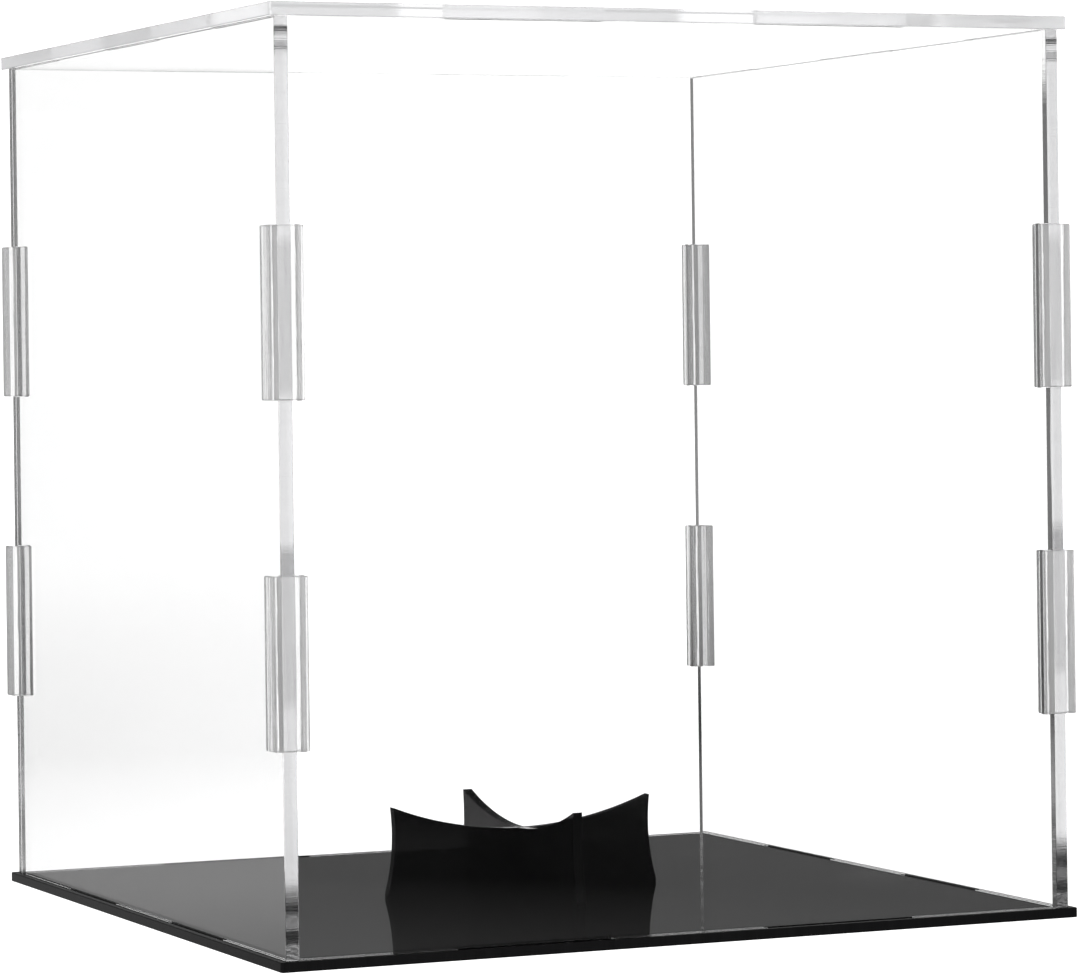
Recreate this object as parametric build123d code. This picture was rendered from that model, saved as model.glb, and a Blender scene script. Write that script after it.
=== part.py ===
from build123d import *
import os

# Flat-pack display case for one ball, built from laser-cut acrylic sheet, all sizes in millimetres.
# Origin: centre of the base plate's underside. +Z up, -Y towards the front, +X to the right.

# Overall sizes
plate_side = 260.0          # side of the square base plate and of the square top panel
overall_height = 276.0      # underside of the base plate to the top of the lid

# Sheets
base_thickness = 3.0        # black base sheet
top_thickness = 4.0         # clear lid sheet
wall_thickness = 4.0        # clear wall sheets
plate_overhang = 2.2        # how far both plates stand out past the walls
plate_corner_radius = 1.0   # rounding of the plates' upright corners
corner_gap = 0.1            # fitting gap between a front or back panel and a side panel

# Tabs and slots, two on each edge
tab_length = 50.0
tab_pitch = 100.0           # from the middle of one tab to the middle of the other
tab_recess = 0.2            # how far a tab's end stays below the far face of its plate
slot_clearance = 0.15       # on every side of a tab

# Corner clips, two on each upright corner
clip_length = 50.0
clip_pitch = 100.0          # from the middle of one clip to the middle of the other
clip_wall = 2.8             # outer and inner leg thickness
clip_web = 1.5              # closed end of the channel, in front of the sheet's edge
clip_reach = 6.5            # how far the legs run along the side panel
clip_lip = 0.8              # overlap of the web over the front or back panel's face
clip_clearance = 0.1        # between the channel and the side panel, and behind the web
clip_edge_radius = 0.6      # rounding of the clip's outer upright edges
clip_lead_in = 0.5          # chamfer at the mouth of the channel
notch_clearance = 0.15      # around the inner leg where it passes the front or back panel

# Ball stand: two plates crossed at a half-lap
ball_diameter = 240.0       # size 7 basketball, with a circumference of about 750
ball_clearance = 0.5        # cradle radius over the ball's own radius
stand_thickness = 3.0
cradle_height = 20.0        # lowest point of the cradle above the base plate
stand_waist = 88.2          # width of a plate at its narrowest
stand_waist_height = 20.0   # height of the narrowest place above the base plate
stand_side_radius = 70.0    # hollow of the plate's two sides
stand_blank_height = 34.0   # sheet that the plate is cut from, taller than its horns
stand_foot_radius = 1.0
stand_horn_radius = 0.8
lap_clearance = 0.1         # on each side of the half-lap, and above it

# Worked out from the sizes above
wall_box = plate_side - 2 * plate_overhang
wall_height = overall_height - base_thickness - top_thickness
wall_middle = base_thickness + wall_height / 2
facing_width = wall_box - 2 * wall_thickness - 2 * corner_gap
wall_centre = wall_box / 2 - wall_thickness / 2
clip_channel = wall_thickness + 2 * clip_clearance
clip_inner_face = wall_box / 2 - wall_thickness - clip_clearance - clip_wall
cradle_radius = ball_diameter / 2 + ball_clearance

tab_offsets = (-tab_pitch / 2, tab_pitch / 2)
clip_heights = {"lower": wall_middle - clip_pitch / 2, "upper": wall_middle + clip_pitch / 2}


def slotted_plate(thickness):
    """Square plate lying on z = 0, with two slots along each edge for the walls' tabs."""
    blank = RectangleRounded(plate_side, plate_side, plate_corner_radius)
    slot_length = tab_length + 2 * slot_clearance
    slot_width = wall_thickness + 2 * slot_clearance
    for side in (-1, 1):
        for offset in tab_offsets:
            blank -= Pos(offset, side * wall_centre) * Rectangle(slot_length, slot_width)
            blank -= Pos(side * wall_centre, offset) * Rectangle(slot_width, slot_length)
    return extrude(blank, thickness)


def wall_outline(width, notched):
    """Wall seen square on, middle of its height at the origin, with its tabs and any clip notches."""
    outline = Rectangle(width, wall_height)
    lower_tab = base_thickness - tab_recess
    upper_tab = top_thickness - tab_recess
    for offset in tab_offsets:
        outline += Pos(offset, -wall_height / 2 - lower_tab / 2) * Rectangle(tab_length, lower_tab)
        outline += Pos(offset, wall_height / 2 + upper_tab / 2) * Rectangle(tab_length, upper_tab)
    if notched:
        notch_floor = clip_inner_face - notch_clearance
        notch_depth = width / 2 - notch_floor
        notch_height = clip_length + 2 * notch_clearance
        for side in (-1, 1):
            for height in clip_heights.values():
                place = Pos(side * (notch_floor + notch_depth / 2), height - wall_middle)
                outline -= place * Rectangle(notch_depth, notch_height)
    return outline


def facing_panel(side):
    """Front (side -1) or back (side 1) panel, standing between the two side panels."""
    sheet = extrude(wall_outline(facing_width, True), wall_thickness / 2, both=True)
    return Pos(0, side * wall_centre, wall_middle) * Rot(90, 0, 0) * sheet


def side_panel(side):
    """Left (side -1) or right (side 1) panel, as deep as the whole wall box."""
    sheet = extrude(wall_outline(wall_box, False), wall_thickness / 2, both=True)
    return Pos(side * wall_centre, 0, wall_middle) * Rot(0, 0, 90) * Rot(90, 0, 0) * sheet


def corner_clip(side, facing, height):
    """Channel that grips a side panel's upright edge. Its inner leg passes through the notch in the front
    or back panel, and the lip on its web laps that panel's face. It pulls off along Y. All eight are the
    same moulding, turned round or turned over."""
    outer_face = wall_box / 2 + clip_clearance + clip_wall
    inner_slot = clip_inner_face + clip_wall
    web_outside = wall_box / 2 + clip_clearance + clip_web
    web_inside = wall_box / 2 + clip_clearance
    leg_end = wall_box / 2 - clip_reach
    # Plan of the clip on the back right corner: a block with the channel and the lip's step cut from it
    width = outer_face - clip_inner_face + clip_lip
    depth = web_outside - leg_end
    plan = Pos(outer_face - width / 2, web_outside - depth / 2) * Rectangle(width, depth)
    corners = plan.vertices().filter_by(lambda v: v.Y > web_inside)
    plan = fillet(corners, clip_edge_radius)
    channel_depth = web_inside - leg_end
    channel_middle = (web_inside + leg_end) / 2
    plan -= Pos(inner_slot + clip_channel / 2, channel_middle) * Rectangle(clip_channel, channel_depth)
    plan -= Pos(clip_inner_face - clip_lip / 2, channel_middle) * Rectangle(clip_lip, channel_depth)
    mouth = plan.vertices().filter_by(lambda v: v.Y < leg_end + clip_lead_in / 2)
    plan = chamfer(mouth, clip_lead_in)
    turned = {(1, 1): Rot(0, 0, 0), (-1, 1): Rot(0, 180, 0), (1, -1): Rot(180, 0, 0), (-1, -1): Rot(0, 0, 180)}
    return Pos(0, 0, height) * turned[side, facing] * extrude(plan, clip_length / 2, both=True)


def stand_plate(lap_from_top):
    """Stand plate lying in the XZ plane with its foot on z = 0: hollow sides, ball cradle, half-lap slot."""
    foot_width = stand_waist + 2 * stand_side_radius
    outline = Pos(0, stand_blank_height / 2) * Rectangle(foot_width, stand_blank_height)
    for side in (-1, 1):
        centre = Pos(side * (stand_waist / 2 + stand_side_radius), stand_waist_height)
        outline -= centre * Circle(stand_side_radius)
    outline -= Pos(0, cradle_height + cradle_radius) * Circle(cradle_radius)
    outline = outline.faces().sort_by(lambda face: abs(face.center().X))[0]
    foot = outline.vertices().filter_by(lambda v: v.Y < stand_foot_radius)
    outline = fillet(foot, stand_foot_radius)
    horns = outline.vertices().filter_by(lambda v: v.Y > cradle_height)
    outline = fillet(horns, stand_horn_radius)
    lap_width = stand_thickness + 2 * lap_clearance
    lap_middle = cradle_height / 2
    if lap_from_top:
        lap_height = stand_blank_height - lap_middle
        outline -= Pos(0, lap_middle + lap_height / 2) * Rectangle(lap_width, lap_height)
    else:
        lap_height = lap_middle + lap_clearance
        outline -= Pos(0, lap_height / 2) * Rectangle(lap_width, lap_height)
    return Rot(90, 0, 0) * extrude(outline, stand_thickness / 2, both=True)


parts = {
    "base_plate": slotted_plate(base_thickness),
    "top_panel": Pos(0, 0, base_thickness + wall_height) * slotted_plate(top_thickness),
    "front_panel": facing_panel(-1),
    "back_panel": facing_panel(1),
    "left_panel": side_panel(-1),
    "right_panel": side_panel(1),
    "stand_front_plate": Pos(0, 0, base_thickness) * stand_plate(True),
    "stand_cross_plate": Pos(0, 0, base_thickness) * Rot(0, 0, 90) * stand_plate(False),
}
for facing_name, facing in (("front", -1), ("back", 1)):
    for side_name, side in (("left", -1), ("right", 1)):
        for level, height in clip_heights.items():
            parts[f"corner_clip_{facing_name}_{side_name}_{level}"] = corner_clip(side, facing, height)

os.makedirs("parts", exist_ok=True)
for name, shape in parts.items():
    export_step(shape, f"parts/{name}.step")
    print(name, round(shape.volume, 1))
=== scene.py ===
from itertools import product
from math import pi, radians

import bmesh
import bpy
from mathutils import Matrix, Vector


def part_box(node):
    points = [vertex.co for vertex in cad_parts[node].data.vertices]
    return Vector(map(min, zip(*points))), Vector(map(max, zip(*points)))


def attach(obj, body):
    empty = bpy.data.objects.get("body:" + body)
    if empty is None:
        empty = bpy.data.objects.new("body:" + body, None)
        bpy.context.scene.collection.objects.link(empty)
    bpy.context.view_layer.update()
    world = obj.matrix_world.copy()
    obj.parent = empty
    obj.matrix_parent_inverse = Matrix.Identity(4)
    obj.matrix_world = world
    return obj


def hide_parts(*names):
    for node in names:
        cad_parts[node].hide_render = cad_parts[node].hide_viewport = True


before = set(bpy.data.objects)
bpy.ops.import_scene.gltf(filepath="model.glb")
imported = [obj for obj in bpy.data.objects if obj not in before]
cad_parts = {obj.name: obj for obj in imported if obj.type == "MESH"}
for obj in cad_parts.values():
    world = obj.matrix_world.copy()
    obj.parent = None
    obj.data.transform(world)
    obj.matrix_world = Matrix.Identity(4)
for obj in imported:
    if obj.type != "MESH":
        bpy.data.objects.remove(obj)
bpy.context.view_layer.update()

print("frame loaded:", len(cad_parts), "sub-parts")


# One socket's result in a node tree. Arithmetic on it adds Math nodes.
class Value:
    def __init__(self, graph, socket):
        self.graph = graph
        self.socket = socket

    def math(self, operation, first, second=0.0):
        return self.graph.add("ShaderNodeMath", {"operation": operation}, {0: first, 1: second})

    def __add__(self, other):
        return self.math("ADD", self, other)

    def __sub__(self, other):
        return self.math("SUBTRACT", self, other)

    def __rsub__(self, other):
        return self.math("SUBTRACT", other, self)

    def __mul__(self, other):
        return self.math("MULTIPLY", self, other)

    def __pow__(self, other):
        return self.math("POWER", self, other)

    def __gt__(self, other):
        return self.math("GREATER_THAN", self, other)

    def __neg__(self):
        return self.math("MULTIPLY", self, -1.0)

    def __abs__(self):
        return self.math("ABSOLUTE", self)

    __radd__ = __add__
    __rmul__ = __mul__


# A shader, world or geometry tree, with one method that adds any node
class Graph:
    def __init__(self, tree):
        self.tree = tree

    def add(self, kind, settings=None, links=None, output=0):
        node = self.tree.nodes.new(kind)
        for name, setting in (settings or {}).items():
            setattr(node, name, setting)
        for name, value in (links or {}).items():
            for item in value if isinstance(value, list) else [value]:
                if isinstance(item, Value):
                    self.tree.links.new(item.socket, node.inputs[name])
                else:
                    node.inputs[name].default_value = item
        return Value(self, node.outputs[output]) if node.outputs else None


# ---- camera and light

view = {
    "place": (-0.58383, -1.35647, 0.17677),
    "heading": -23.62,     # degrees from straight ahead
    "tilt": 0.742,         # degrees of roll
    "lens": 153.4,
    "sensor": 36,
    "shift": -0.131,
    "nearest": 0.01,
    "farthest": 200,
}


def makeCamera():
    data = bpy.data.cameras.new("camera")
    data.lens = view["lens"]
    data.sensor_width = view["sensor"]
    data.shift_y = view["shift"]
    data.clip_start = view["nearest"]
    data.clip_end = view["farthest"]
    camera = bpy.data.objects.new("camera", data)
    camera.location = view["place"]
    camera.rotation_euler = (radians(90), radians(view["tilt"]), radians(view["heading"]))
    bpy.context.scene.collection.objects.link(camera)
    bpy.context.scene.camera = camera


studio = {
    "backdrop": 1.4,       # brightness of the white backdrop and floor
    "backdropSide": (0.4, 0.916, 0),   # where the lit backdrop stands
    "onceFalloff": 12,     # how narrow the backdrop looks in a first reflection
    "oftenFalloff": 0.7,   # and after several, inside an edge
    "frontGlow": 0.8,      # light behind the camera, which the far corners mirror
    "frontFalloff": 2,
    "roomFront": 0.035,    # the dim room that the gloss mirrors above the backdrop
    "roomBack": 0.14,
    "horizonEdge": (0.08, 0.105),   # sine of the height where the backdrop ends
    "floorHalf": 40,       # half the floor's side
    "floorDrop": 0.0002,   # keeps the floor clear of the base's underside
    "floorStart": 0.5,     # a first reflection finds the floor lit from here on
    "floorFull": 2.5,
    "patchPlace": (-0.3, 0.08, 0),   # lit patch of floor that the left panel mirrors
    "patchSize": 0.5,
    "patchGlow": 0.65,
    "strips": {"leftStrip": (-1.6, 0.2, 0.7), "rightStrip": (1.7, -0.3, 0.8)},
    "stripSize": (0.25, 1.4),
    "stripAim": (0, 0, 0.14),
    "stripPower": 6,
    "bounces": 80,         # light is mirrored dozens of times inside a clear edge
}


# Brightness by how often the light was mirrored on its way. Straight light sees white all round,
# mirrored light sees what the gloss and the edges should show.
def studioLight(graph, once, often):
    mirrored = graph.add("ShaderNodeLightPath", output="Glossy Depth")
    gloss = mirrored > 0.5
    return (1 - gloss) * studio["backdrop"] + gloss * (once + (often - once) * (mirrored > 1.5))


# The lit backdrop as mirrored light sees it in a direction, once mirrored and more often. The first
# has some light from behind the camera too, and its share is how much of both reaches the place.
def backdropLight(graph, direction, share):
    heading = graph.add("ShaderNodeVectorMath", {"operation": "NORMALIZE"}, {0: direction})
    side = graph.add("ShaderNodeVectorMath", {"operation": "DOT_PRODUCT"},
                     {0: heading, 1: studio["backdropSide"]}, "Value")
    facing = side * 0.5 + 0.5
    front = (1 - facing) ** studio["frontFalloff"] * studio["frontGlow"]
    lit = facing ** studio["onceFalloff"] * studio["backdrop"] + front
    often = facing ** studio["oftenFalloff"] * studio["backdrop"] + studio["roomFront"]
    return lit * share + studio["roomFront"], often


def makeWorld():
    world = bpy.data.worlds.new("studio")
    world.use_nodes = True
    bpy.context.scene.world = world
    world.node_tree.nodes.clear()
    graph = Graph(world.node_tree)
    direction = graph.add("ShaderNodeTexCoord")
    depth = graph.add("ShaderNodeSeparateXYZ", {}, {0: direction}, "Y")
    height = graph.add("ShaderNodeSeparateXYZ", {}, {0: direction}, "Z")
    room = graph.add("ShaderNodeMapRange", {}, {
        "Value": depth, "From Min": -1.0, "To Min": studio["roomFront"], "To Max": studio["roomBack"]})
    low, high = studio["horizonEdge"]
    raised = graph.add("ShaderNodeMapRange", {"interpolation_type": "SMOOTHSTEP"},
                       {"Value": height, "From Min": low, "From Max": high})
    once, often = backdropLight(graph, direction, 1.0)
    light = graph.add("ShaderNodeBackground", {}, {"Color": (1, 1, 1, 1), "Strength": studioLight(
        graph, once + (room - once) * raised, often + (room - often) * raised)})
    graph.add("ShaderNodeOutputWorld", {}, {"Surface": light})


def makeStrip(name, place):
    data = bpy.data.lights.new(name, "AREA")
    data.energy = studio["stripPower"]
    data.shape = "RECTANGLE"
    data.size, data.size_y = studio["stripSize"]
    lamp = bpy.data.objects.new(name, data)
    lamp.location = place
    lamp.rotation_euler = (Vector(studio["stripAim"]) - Vector(place)).to_track_quat("-Z", "Y").to_euler()
    lamp.visible_camera = False
    lamp.visible_transmission = False
    bpy.context.scene.collection.objects.link(lamp)


def makeFloor():
    mesh = bpy.data.meshes.new("floor")
    half = studio["floorHalf"]
    corners = [(-half, -half, 0), (half, -half, 0), (half, half, 0), (-half, half, 0)]
    mesh.from_pydata(corners, [], [(0, 1, 2, 3)])
    floor = bpy.data.objects.new("floor", mesh)
    bpy.context.scene.collection.objects.link(floor)
    material, graph = newMaterial("paleFloor")
    place = objectPlace(graph)
    away = graph.add("ShaderNodeVectorMath", {"operation": "LENGTH"}, {0: place}, "Value")
    share = graph.add("ShaderNodeMapRange", {"interpolation_type": "SMOOTHSTEP"}, {
        "Value": away, "From Min": studio["floorStart"], "From Max": studio["floorFull"]})
    once, often = backdropLight(graph, place, share)
    distance = graph.add("ShaderNodeVectorMath", {"operation": "DISTANCE"},
                         {0: place, 1: studio["patchPlace"]}, "Value")
    patch = graph.add("ShaderNodeMapRange", {}, {
        "Value": distance, "From Max": studio["patchSize"], "To Min": studio["patchGlow"], "To Max": 0.0})
    glow = graph.add("ShaderNodeEmission", {}, {
        "Color": (1, 1, 1, 1), "Strength": studioLight(graph, once + patch, often)})
    graph.add("ShaderNodeOutputMaterial", {}, {"Surface": glow})
    mesh.materials.append(material)
    floor.location.z = -studio["floorDrop"]


def newMaterial(name):
    material = bpy.data.materials.new(name)
    material.use_nodes = True
    material.node_tree.nodes.clear()
    return material, Graph(material.node_tree)


def objectPlace(graph):
    return graph.add("ShaderNodeTexCoord", output="Object")


makeCamera()
makeWorld()
for name, place in studio["strips"].items():
    makeStrip(name, place)
makeFloor()
print("camera, lights and floor")


# ---- materials

acrylicIor = 1.49
surfaceMarks = {
    "smudgeFrom": 0.45,        # noise level at which a handling smudge begins
    "smudgeFull": 0.75,
    "smudgeDetail": 5.0,
    "smudgeGrain": 0.6,
    "fineCut": 2600.0,         # laser marks along a cut edge, per metre
    "broadCut": 2600.0 / 9,    # slower ripples under them
    "cutDetail": 2.0,
    "fineShare": 0.65,
    "cutDepth": 0.0002,
}


def finishMaterial(graph, **sockets):
    names = {"color": "Base Color", "roughness": "Roughness", "normal": "Normal", "ior": "IOR",
             "transmission": "Transmission Weight", "specular": "Specular IOR Level"}
    inputs = {names[key]: value for key, value in sockets.items()}
    surface = graph.add("ShaderNodeBsdfPrincipled", {}, inputs)
    graph.add("ShaderNodeOutputMaterial", {}, {"Surface": surface})


def mixColors(graph, factor, first, second):
    return graph.add("ShaderNodeMix", {"data_type": "RGBA"}, {0: factor, 6: first, 7: second}, output=2)


# Handling smudges: broad soft patches, 0 to 1
def smudges(graph, place, scale):
    noise = graph.add("ShaderNodeTexNoise", {}, {
        "Vector": place, "Scale": scale, "Detail": surfaceMarks["smudgeDetail"],
        "Roughness": surfaceMarks["smudgeGrain"]})
    return graph.add("ShaderNodeMapRange", {"interpolation_type": "SMOOTHSTEP"}, {
        "Value": noise, "From Min": surfaceMarks["smudgeFrom"], "From Max": surfaceMarks["smudgeFull"]})


# Ripples across a laser-cut edge; along is the direction in which the cut runs
def cutMarks(graph, along):
    travel = graph.add("ShaderNodeVectorMath", {"operation": "DOT_PRODUCT"},
                       {0: objectPlace(graph), 1: along}, "Value")
    fine, broad = [graph.add("ShaderNodeTexNoise", {"noise_dimensions": "1D"}, {
        "W": travel, "Scale": surfaceMarks[ripple], "Detail": surfaceMarks["cutDetail"]})
        for ripple in ("fineCut", "broadCut")]
    return fine * surfaceMarks["fineShare"] + broad * (1 - surfaceMarks["fineShare"])


clearLook = {
    "clean": (1, 1, 1, 1),
    "smudged": (0.992, 0.995, 0.996, 1),
    "smudgeScale": 9.0,
    "smudgeRoughness": 0.02,
    "waveScale": 14.0,         # slow waves in the cast sheet
    "waveDetail": 1.0,
    "waveStrength": 0.02,
    "waveDepth": 0.001,
}


def clearFace():
    material, graph = newMaterial("clearAcrylicFace")
    place = objectPlace(graph)
    smudge = smudges(graph, place, clearLook["smudgeScale"])
    color = mixColors(graph, smudge, clearLook["clean"], clearLook["smudged"])
    wave = graph.add("ShaderNodeTexNoise", {}, {
        "Vector": place, "Scale": clearLook["waveScale"], "Detail": clearLook["waveDetail"]})
    normal = graph.add("ShaderNodeBump", {}, {
        "Height": wave, "Strength": clearLook["waveStrength"], "Distance": clearLook["waveDepth"]})
    finishMaterial(graph, color=color, roughness=smudge * clearLook["smudgeRoughness"], normal=normal,
                   ior=acrylicIor, transmission=1.0)
    return material


clearCutLook = {
    "blue": 1.01,              # blue against red and green
    "roughness": 0.005,
    "markRoughness": 0.05,
    "markStrength": 0.1,
}


# Clear cut edge, seen through as far as its transmission goes and frosted for the rest
def clearCut(name, along, dark, light, transmission):
    material, graph = newMaterial(name)
    marks = cutMarks(graph, along)
    shades = [(grey, grey, grey * clearCutLook["blue"], 1) for grey in (dark, light)]
    color = mixColors(graph, marks, *shades)
    normal = graph.add("ShaderNodeBump", {}, {
        "Height": marks, "Strength": clearCutLook["markStrength"], "Distance": surfaceMarks["cutDepth"]})
    roughness = marks * clearCutLook["markRoughness"] + clearCutLook["roughness"]
    finishMaterial(graph, color=color, roughness=roughness, normal=normal, ior=acrylicIor,
                   transmission=transmission)
    return material


clipLook = {
    "ior": 1.56,
    "transmission": 0.8,
    "flowScale": (900, 900, 26),     # flow streaks run along the clip
    "flowDetail": 3.0,
    "flowStrength": 0.35,
    "flowDepth": 0.0003,
    "cloudFrom": 0.35,
    "cloudFull": 0.65,
    "cloudy": (0.86, 0.86, 0.865, 1),
    "clear": (0.97, 0.97, 0.97, 1),
    "smudgeScale": 60.0,
    "smudgeRoughness": 0.05,
    "roughness": 0.02,
}


def mouldedClear():
    material, graph = newMaterial("mouldedClear")
    place = objectPlace(graph)
    stretched = graph.add("ShaderNodeMapping", {}, {"Vector": place, "Scale": clipLook["flowScale"]})
    flow = graph.add("ShaderNodeTexNoise", {}, {
        "Vector": stretched, "Scale": 1.0, "Detail": clipLook["flowDetail"]})
    smudge = smudges(graph, place, clipLook["smudgeScale"])
    cloud = graph.add("ShaderNodeMapRange", {"interpolation_type": "SMOOTHSTEP"}, {
        "Value": flow, "From Min": clipLook["cloudFrom"], "From Max": clipLook["cloudFull"]})
    color = mixColors(graph, cloud, clipLook["cloudy"], clipLook["clear"])
    normal = graph.add("ShaderNodeBump", {}, {
        "Height": flow, "Strength": clipLook["flowStrength"], "Distance": clipLook["flowDepth"]})
    roughness = smudge * clipLook["smudgeRoughness"] + clipLook["roughness"]
    finishMaterial(graph, color=color, roughness=roughness, normal=normal, ior=clipLook["ior"],
                   transmission=clipLook["transmission"])
    return material


blackLook = {
    "blue": 1.1,
    "smudgeScale": 12.0,
    "smudgeRoughness": 0.05,
    "dustScale": 900.0,
    "dustEdge": 0.06,          # where a speck fades out, against the space between specks
    "dustCore": 0.03,
    "dustColor": (0.03, 0.03, 0.03, 1),
    "dustRoughness": 0.3,
    "roughness": 0.01,
}


def blackFace(name, grey):
    material, graph = newMaterial(name)
    place = objectPlace(graph)
    smudge = smudges(graph, place, blackLook["smudgeScale"])
    specks = graph.add("ShaderNodeTexVoronoi", {"feature": "F1"}, {
        "Vector": place, "Scale": blackLook["dustScale"]})
    dust = graph.add("ShaderNodeMapRange", {}, {
        "Value": specks, "From Min": blackLook["dustEdge"], "From Max": blackLook["dustCore"]})
    color = mixColors(graph, dust, (grey, grey, grey * blackLook["blue"], 1), blackLook["dustColor"])
    roughness = (smudge * blackLook["smudgeRoughness"] + dust * blackLook["dustRoughness"]
                 + blackLook["roughness"])
    finishMaterial(graph, color=color, roughness=roughness, ior=acrylicIor)
    return material


blackCutLook = {
    "dark": (0.002, 0.002, 0.002, 1),
    "light": (0.008, 0.008, 0.0085, 1),
    "markStrength": 0.15,
    "markRoughness": 0.1,
    "roughness": 0.06,
    "specular": 0.05,
}


def blackCut(name, along):
    material, graph = newMaterial(name)
    marks = cutMarks(graph, along)
    color = mixColors(graph, marks, blackCutLook["dark"], blackCutLook["light"])
    normal = graph.add("ShaderNodeBump", {}, {
        "Height": marks, "Strength": blackCutLook["markStrength"], "Distance": surfaceMarks["cutDepth"]})
    roughness = marks * blackCutLook["markRoughness"] + blackCutLook["roughness"]
    finishMaterial(graph, color=color, roughness=roughness, normal=normal, ior=acrylicIor,
                   specular=blackCutLook["specular"])
    return material


clearSheet = clearFace()
clearFacingCut = clearCut("clearCutFacing", along=(1, 0, 1), dark=0.85, light=1.0, transmission=1.0)
# The side panels' cut edges are tinted a darker grey than the other clear cut edges: painted shade for the
# grey bands their upright ends show
clearSideCutPaintedShade = clearCut("clearCutSidePaintedShade", along=(0, 1, 1), dark=0.5, light=0.72, transmission=1.0)
clearTabCut = clearCut("clearCutTab", along=(1, 1, 0), dark=0.75, light=0.95, transmission=0.25)
clearPlateCut = clearCut("clearCutPlate", along=(1, 1, 0), dark=0.96, light=1.0, transmission=0.62)
clipPlastic = mouldedClear()
blackBaseSheet = blackFace("blackBaseFace", grey=0.0012)
blackStandSheet = blackFace("blackStandFace", grey=0.004)
blackPlateCut = blackCut("blackCutPlate", along=(1, 1, 0))
blackFrontCut = blackCut("blackCutFront", along=(1, 0, 1))
blackCrossCut = blackCut("blackCutCross", along=(0, 1, 1))
print("materials:", len(bpy.data.materials))


# ---- geometry trees

shaping = {
    "broadFace": 0.9,          # how squarely a broad face looks along its sheet's thickness
    "sharp": radians(40),      # the least angle of an edge that gets an arris
    "nearPoints": 0.000002,    # points this near each other become one
    "leastEdge": 0.000001,     # a shorter edge is taken out of the finished mesh
    "tabFrom": 0.1,            # faces whose middle is this share of a tab's height out are the tab's
    "cornerSteps": 6,          # points round a plate's upright corner
    "cradleSteps": 720,        # sides of the circles that the stand's hollows are cut with
    "hollowSteps": 480,
    "throughEdge": 0.9,        # an edge through the stand's plate is this share of its thickness or more
    "outerEdge": 0.4,          # and one at a foot or horn is this share of the waist out, or more
}


def newTree(name, inputs):
    group = bpy.data.node_groups.new(name, "GeometryNodeTree")
    kinds = {"number": "NodeSocketFloat", "vector": "NodeSocketVector", "material": "NodeSocketMaterial",
             "switch": "NodeSocketBool"}
    for label, kind in inputs.items():
        group.interface.new_socket(name=label, in_out="INPUT", socket_type=kinds[kind])
    group.interface.new_socket(name="Geometry", in_out="OUTPUT", socket_type="NodeSocketGeometry")
    graph = Graph(group)
    source = group.nodes.new("NodeGroupInput")
    return group, graph, {label: Value(graph, source.outputs[label]) for label in inputs}


def vector(graph, x=0.0, y=0.0, z=0.0):
    return graph.add("ShaderNodeCombineXYZ", {}, {0: x, 1: y, 2: z})


def block(graph, width, depth, height, x=0.0, y=0.0, z=0.0):
    cube = graph.add("GeometryNodeMeshCube", {}, {"Size": vector(graph, width, depth, height)})
    return graph.add("GeometryNodeTransform", {}, {"Geometry": cube, "Translation": vector(graph, x, y, z)})


def atPoints(graph, points, instance):
    placed = graph.add("GeometryNodeInstanceOnPoints", {}, {"Points": points, "Instance": instance})
    return graph.add("GeometryNodeRealizeInstances", {}, {0: placed})


def mergeNear(graph, shape):
    return graph.add("GeometryNodeMergeByDistance", {}, {0: shape, "Distance": shaping["nearPoints"]})


def combine(graph, operation, shapes, body=None):
    links = {"Mesh 2": shapes}
    if body is not None:
        links["Mesh 1"] = body
    settings = {"operation": operation, "solver": "EXACT"}
    return mergeNear(graph, graph.add("GeometryNodeMeshBoolean", settings, links))


# Gives the shape's cut edges and broad faces their materials, then turns and places it. The broad
# faces are those that look along the sheet's own thickness. Tabs may have frosted edges.
def endTree(group, graph, shape, pins, thicknessAxis, tabs=None):
    normal = graph.add("GeometryNodeInputNormal")
    facing = graph.add("ShaderNodeVectorMath", {"operation": "DOT_PRODUCT"},
                       {0: normal, 1: thicknessAxis}, "Value")
    broad = abs(facing) > shaping["broadFace"]
    allCut = graph.add("GeometryNodeSetMaterial", {}, {"Geometry": shape, "Material": pins["Cut Material"]})
    sheet = graph.add("GeometryNodeSetMaterial", {}, {
        "Geometry": allCut, "Selection": broad, "Material": pins["Sheet Material"]})
    if tabs is not None:
        sheet = graph.add("GeometryNodeSetMaterial", {}, {
            "Geometry": sheet, "Selection": tabs * (1 - broad), "Material": pins["Tab Material"]})
    placed = graph.add("GeometryNodeTransform", {}, {
        "Geometry": sheet, "Translation": pins["Place"], "Rotation": pins["Turn"]})
    whole = graph.add("GeometryNodeRealizeInstances", {}, {0: placed})
    graph.add("NodeGroupOutput", {}, {"Geometry": whole})
    return group


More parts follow.
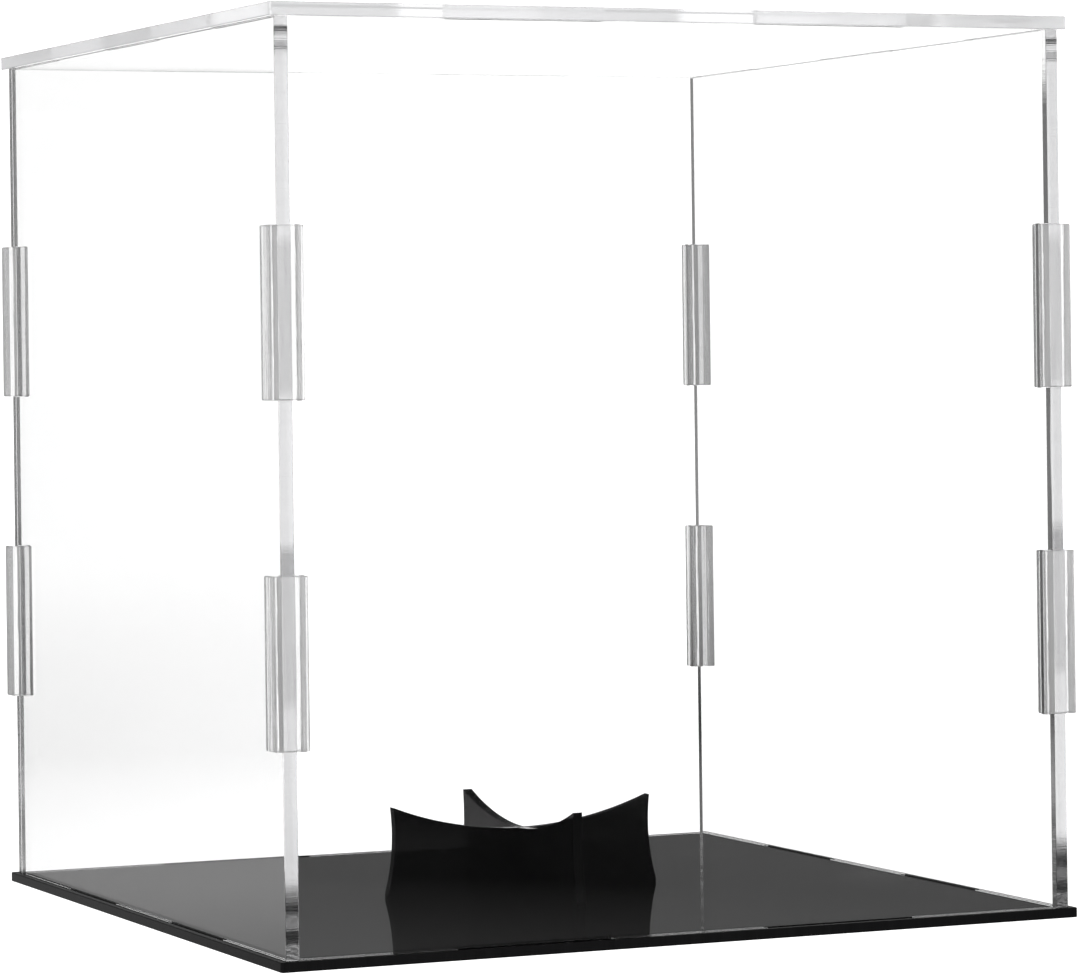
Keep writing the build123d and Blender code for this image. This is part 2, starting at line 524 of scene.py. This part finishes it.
# Upright sheet seen from the front: a slab, tabs above and below, notches at its ends
def makeWallTree():
    group, graph, pins = newTree("tabbedWall", {
        "Width": "number", "Thickness": "number", "Height": "number", "Tab Length": "number",
        "Tab Pitch": "number", "Lower Tab": "number", "Upper Tab": "number", "Notched": "switch",
        "Notch Depth": "number", "Notch Height": "number", "Notch Pitch": "number", "Place": "vector",
        "Turn": "vector", "Sheet Material": "material", "Cut Material": "material",
        "Tab Material": "material"})
    width, thickness, height = pins["Width"], pins["Thickness"], pins["Height"]
    shapes = [block(graph, width, thickness, height)]
    for side, rise in ((-1, pins["Lower Tab"]), (1, pins["Upper Tab"])):
        level = (height + rise) * (0.5 * side)
        row = graph.add("GeometryNodeMeshLine", {"mode": "END_POINTS"}, {
            "Count": 2, "Start Location": vector(graph, pins["Tab Pitch"] * -0.5, 0.0, level),
            "Offset": vector(graph, pins["Tab Pitch"] * 0.5, 0.0, level)})
        shapes.append(atPoints(graph, row, block(graph, pins["Tab Length"], thickness, rise)))
    outline = combine(graph, "UNION", shapes)
    corners = graph.add("GeometryNodeMeshGrid", {}, {
        "Size X": width, "Size Y": pins["Notch Pitch"], "Vertices X": 2, "Vertices Y": 2})
    upright = graph.add("GeometryNodeTransform", {}, {"Geometry": corners, "Rotation": (radians(90), 0, 0)})
    cutter = block(graph, pins["Notch Depth"] * 2.0, thickness * 2.0, pins["Notch Height"])
    notched = combine(graph, "DIFFERENCE", [atPoints(graph, upright, cutter)], outline)
    shape = graph.add("GeometryNodeSwitch", {"input_type": "GEOMETRY"}, {
        "Switch": pins["Notched"], "False": outline, "True": notched})
    level = graph.add("ShaderNodeSeparateXYZ", {}, {0: graph.add("GeometryNodeInputPosition")}, "Z")
    tabs = abs(level) > height * 0.5 + pins["Lower Tab"] * shaping["tabFrom"]
    return endTree(group, graph, shape, pins, (0, 1, 0), tabs)


# Square plate lying flat, with two slots beside each of its four edges
def makePlateTree():
    group, graph, pins = newTree("slottedPlate", {
        "Side": "number", "Thickness": "number", "Corner Radius": "number", "Slot Length": "number",
        "Slot Width": "number", "Slot Pitch": "number", "Slot Line": "number", "Place": "vector",
        "Turn": "vector", "Sheet Material": "material", "Cut Material": "material"})
    square = graph.add("GeometryNodeCurvePrimitiveQuadrilateral", {}, {
        "Width": pins["Side"], "Height": pins["Side"]})
    rim = graph.add("GeometryNodeFilletCurve", {"mode": "POLY"}, {
        "Curve": square, "Radius": pins["Corner Radius"], "Count": shaping["cornerSteps"]})
    outlines = [rim]
    spans = (pins["Slot Line"] * 2.0, pins["Slot Pitch"])
    holes = (pins["Slot Width"], pins["Slot Length"])
    for across in (0, 1):
        corners = graph.add("GeometryNodeMeshGrid", {}, {
            "Size X": spans[across], "Size Y": spans[1 - across], "Vertices X": 2, "Vertices Y": 2})
        slot = graph.add("GeometryNodeCurvePrimitiveQuadrilateral", {}, {
            "Width": holes[across], "Height": holes[1 - across]})
        outlines.append(atPoints(graph, corners, slot))
    drawn = graph.add("GeometryNodeJoinGeometry", {}, {0: outlines})
    flat = graph.add("GeometryNodeFillCurve", {"mode": "NGONS"}, {"Curve": drawn})
    raised = graph.add("GeometryNodeExtrudeMesh", {}, {
        "Mesh": flat, "Offset": (0, 0, 1), "Offset Scale": pins["Thickness"], "Individual": False})
    underside = graph.add("GeometryNodeFlipFaces", {}, {0: flat})
    closed = mergeNear(graph, graph.add("GeometryNodeJoinGeometry", {}, {0: [raised, underside]}))
    return endTree(group, graph, closed, pins, (0, 0, 1))


# Channel clip, its closed end towards +Y and its outer leg towards +X, middle of its box at the
# origin. It has no broad faces, so all of it takes the cut material.
def makeClipTree():
    group, graph, pins = newTree("cornerClip", {
        "Width": "number", "Depth": "number", "Length": "number", "Leg": "number", "Web": "number",
        "Lip": "number", "Place": "vector", "Turn": "vector", "Sheet Material": "material",
        "Cut Material": "material"})
    width, depth, length = pins["Width"], pins["Depth"], pins["Length"]
    leg, web, lip = pins["Leg"], pins["Web"], pins["Lip"]
    channel = width - lip - leg * 2.0
    tall = length * 2.0
    slotCut = block(graph, channel, depth, tall, width * 0.5 - leg - channel * 0.5, -web)
    stepCut = block(graph, lip * 2.0, depth, tall, width * -0.5, -web)
    shape = combine(graph, "DIFFERENCE", [slotCut, stepCut], block(graph, width, depth, length))
    return endTree(group, graph, shape, pins, (0, 0, 0))


# Stand plate seen from the front, its foot on z = 0: hollow sides, a cradle for the ball, a half-lap slot
def makeStandTree():
    group, graph, pins = newTree("standPlate", {
        "Foot Width": "number", "Thickness": "number", "Blank Height": "number", "Waist": "number",
        "Waist Height": "number", "Side Radius": "number", "Cradle Radius": "number",
        "Cradle Height": "number", "Lap Width": "number", "Lap From": "number", "Lap To": "number",
        "Place": "vector", "Turn": "vector", "Sheet Material": "material", "Cut Material": "material"})
    thick = pins["Thickness"]
    blank = block(graph, pins["Foot Width"], thick, pins["Blank Height"], z=pins["Blank Height"] * 0.5)

    def roundCut(radius, steps, x, z):
        disc = graph.add("GeometryNodeMeshCylinder", {"fill_type": "NGON"}, {
            "Vertices": steps, "Radius": radius, "Depth": thick * 2.0})
        return graph.add("GeometryNodeTransform", {}, {
            "Geometry": disc, "Translation": vector(graph, x, 0.0, z), "Rotation": (radians(90), 0, 0)})

    cuts = [roundCut(pins["Cradle Radius"], shaping["cradleSteps"], 0.0,
                     pins["Cradle Height"] + pins["Cradle Radius"])]
    for side in (-1, 1):
        reach = (pins["Waist"] * 0.5 + pins["Side Radius"]) * float(side)
        cuts.append(roundCut(pins["Side Radius"], shaping["hollowSteps"], reach, pins["Waist Height"]))
    lapHeight = pins["Lap To"] - pins["Lap From"]
    lapMiddle = (pins["Lap To"] + pins["Lap From"]) * 0.5
    cuts.append(block(graph, pins["Lap Width"], thick * 2.0, lapHeight, z=lapMiddle))
    shape = combine(graph, "DIFFERENCE", cuts, blank)

    # weights for the bevel that rounds the foot's and the horns' corners: sharp edges through the
    # thickness, out beyond the half-lap
    angle = graph.add("GeometryNodeInputMeshEdgeAngle")
    first, second = [graph.add("GeometryNodeInputMeshEdgeVertices", output=end) for end in (2, 3)]
    run = graph.add("ShaderNodeVectorMath", {"operation": "SUBTRACT"}, {0: second, 1: first})
    depth = abs(graph.add("ShaderNodeSeparateXYZ", {}, {0: run}, "Y"))
    reach = abs(graph.add("ShaderNodeSeparateXYZ", {}, {0: first}, "X"))
    through = depth > thick * shaping["throughEdge"]
    outer = reach > pins["Waist"] * shaping["outerEdge"]
    weighted = graph.add("GeometryNodeStoreNamedAttribute", {"data_type": "FLOAT", "domain": "EDGE"}, {
        "Geometry": shape, "Name": "bevel_weight_edge",
        "Value": (angle > shaping["sharp"]) * through * outer})
    return endTree(group, graph, weighted, pins, (0, 1, 0))


wallTree = makeWallTree()
plateTree = makePlateTree()
clipTree = makeClipTree()
standTree = makeStandTree()
print("geometry trees:", len(bpy.data.node_groups))


# Runs a tree with its named values, rounds corners and arrises, and leaves one plain clean mesh that
# rides on the body
def makePiece(name, tree, node, body, slotName, arris, **values):
    maker = bpy.data.objects.new(name + "Maker", bpy.data.meshes.new(name + "Seed"))
    bpy.context.scene.collection.objects.link(maker)
    modifier = maker.modifiers.new("shape", "NODES")
    modifier.node_group = tree
    identifiers = {item.name.replace(" ", "").lower(): item.identifier
                   for item in tree.interface.items_tree if item.in_out == "INPUT"}
    for key, value in values.items():
        modifier[identifiers[key.lower()]] = value
    if "corner" in arris:
        rounding = maker.modifiers.new("corners", "BEVEL")
        rounding.limit_method = "WEIGHT"
        rounding.width = arris["corner"]
        rounding.segments = arris["cornerSegments"]
    bevel = maker.modifiers.new("arris", "BEVEL")
    bevel.width = arris["width"]
    bevel.segments = arris["segments"]
    bevel.limit_method = "ANGLE"
    bevel.angle_limit = shaping["sharp"]
    bpy.context.view_layer.update()
    depsgraph = bpy.context.evaluated_depsgraph_get()
    mesh = bpy.data.meshes.new_from_object(maker.evaluated_get(depsgraph), depsgraph=depsgraph)
    bpy.data.objects.remove(maker)
    clean = bmesh.new()
    clean.from_mesh(mesh)
    bmesh.ops.dissolve_degenerate(clean, dist=shaping["leastEdge"], edges=clean.edges)
    clean.to_mesh(mesh)
    clean.free()
    mesh.name = name
    piece = bpy.data.objects.new(name, mesh)
    bpy.context.scene.collection.objects.link(piece)
    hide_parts(node)
    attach(piece, body)


def sizeOf(node):
    low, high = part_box(node)
    return high - low


def middleOf(node):
    low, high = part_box(node)
    return (low + high) / 2


# ---- plates

plates = {
    "cornerRadius": 0.001,
    "slotLength": 0.0503,
    "slotWidth": 0.0043,
    "slotPitch": 0.1,
    "arris": {"width": 0.00025, "segments": 2},
}


def makePlate(name, node, body, slotName, sheet, cut):
    size = sizeOf(node)
    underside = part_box(node)[0].z
    makePiece(name, plateTree, node, body, slotName, plates["arris"],
              side=size.x, thickness=size.z, cornerRadius=plates["cornerRadius"],
              slotLength=plates["slotLength"], slotWidth=plates["slotWidth"],
              slotPitch=plates["slotPitch"], slotLine=abs(middleOf("left_panel").x),
              place=(0, 0, underside), sheetMaterial=sheet, cutMaterial=cut)


makePlate("basePlate", "base_plate", "base", "black_acrylic", blackBaseSheet, blackPlateCut)
makePlate("topPanel", "top_panel", "top", "clear_acrylic", clearSheet, clearPlateCut)
print("plates")


# ---- walls

walls = {
    "tabLength": 0.05,
    "tabPitch": 0.1,
    "notchHeight": 0.0503,
    "notchPitch": 0.1,
    "notchDepth": 0.00295,
    "seatGap": 0.00002,    # air left above the base and under the lid, so the edges mirror there
    "facingArris": {"width": 0.00003, "segments": 2},
    "sideArris": {"width": 0.0002, "segments": 2},
}


# Front or back panel where facing is true, otherwise a side panel
def makeWall(name, node, facing):
    low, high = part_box(node)
    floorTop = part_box("base_plate")[1].z
    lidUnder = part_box("top_panel")[0].z
    size = sizeOf(node)
    middle = middleOf(node)
    gap = walls["seatGap"]
    makePiece(name, wallTree, node, "walls", "clear_acrylic",
              walls["facingArris"] if facing else walls["sideArris"],
              width=max(size.x, size.y), thickness=min(size.x, size.y),
              height=lidUnder - floorTop - 2 * gap, tabLength=walls["tabLength"],
              tabPitch=walls["tabPitch"], lowerTab=floorTop - low.z + gap,
              upperTab=high.z - lidUnder + gap, notched=facing, notchDepth=walls["notchDepth"],
              notchHeight=walls["notchHeight"], notchPitch=walls["notchPitch"],
              place=(middle.x, middle.y, (floorTop + lidUnder) / 2),
              turn=(0, 0, 0 if facing else pi / 2), sheetMaterial=clearSheet,
              cutMaterial=clearFacingCut if facing else clearSideCutPaintedShade, tabMaterial=clearTabCut)


makeWall("frontPanel", "front_panel", True)
makeWall("backPanel", "back_panel", True)
makeWall("leftPanel", "left_panel", False)
makeWall("rightPanel", "right_panel", False)
print("walls")


# ---- corner clips

clips = {
    "leg": 0.0028,
    "web": 0.0015,
    "lip": 0.0008,
    "arris": {"width": 0.0005, "segments": 3},
    "turns": {("back", "right"): (0, 0, 0), ("back", "left"): (0, pi, 0),
              ("front", "right"): (pi, 0, 0), ("front", "left"): (0, 0, pi)},
}


def makeClip(facing, side, level):
    node = f"corner_clip_{facing}_{side}_{level}"
    size = sizeOf(node)
    makePiece(f"cornerClip{facing.title()}{side.title()}{level.title()}", clipTree, node,
              f"clip_{facing}_{side}_{level}", "clear_clip", clips["arris"],
              width=size.x, depth=size.y, length=size.z, leg=clips["leg"], web=clips["web"],
              lip=clips["lip"], place=middleOf(node), turn=clips["turns"][facing, side],
              sheetMaterial=clipPlastic, cutMaterial=clipPlastic)


for facing, side, level in product(("front", "back"), ("left", "right"), ("lower", "upper")):
    makeClip(facing, side, level)
print("corner clips")


# ---- ball stand

stand = {
    "waist": 0.0882,
    "waistHeight": 0.02,
    "sideRadius": 0.07,
    "blankHeight": 0.034,
    "cradleRadius": 0.1205,
    "cradleHeight": 0.02,
    "lapWidth": 0.0032,
    "frontLap": (0.01, 0.04),      # heights between which each plate's half-lap slot is cut
    "crossLap": (-0.01, 0.0101),
    "arris": {"width": 0.00035, "segments": 3, "corner": 0.0014, "cornerSegments": 8},
}


def makeStandPlate(name, node, body, turn, cut, lap):
    size = sizeOf(node)
    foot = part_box(node)[0].z
    makePiece(name, standTree, node, body, "black_acrylic", stand["arris"],
              footWidth=max(size.x, size.y), thickness=min(size.x, size.y),
              blankHeight=stand["blankHeight"], waist=stand["waist"], waistHeight=stand["waistHeight"],
              sideRadius=stand["sideRadius"], cradleRadius=stand["cradleRadius"],
              cradleHeight=stand["cradleHeight"], lapWidth=stand["lapWidth"], lapFrom=lap[0],
              lapTo=lap[1], place=(0, 0, foot), turn=(0, 0, turn), sheetMaterial=blackStandSheet,
              cutMaterial=cut)


makeStandPlate("standFrontPlate", "stand_front_plate", "stand", 0, blackFrontCut, stand["frontLap"])
makeStandPlate("standCrossPlate", "stand_cross_plate", "stand_cross", pi / 2, blackCrossCut,
               stand["crossLap"])
print("ball stand")

scene = bpy.context.scene
scene.view_settings.view_transform = "Standard"
for kind in ("max_bounces", "glossy_bounces", "transmission_bounces"):
    setattr(scene.cycles, kind, studio["bounces"])
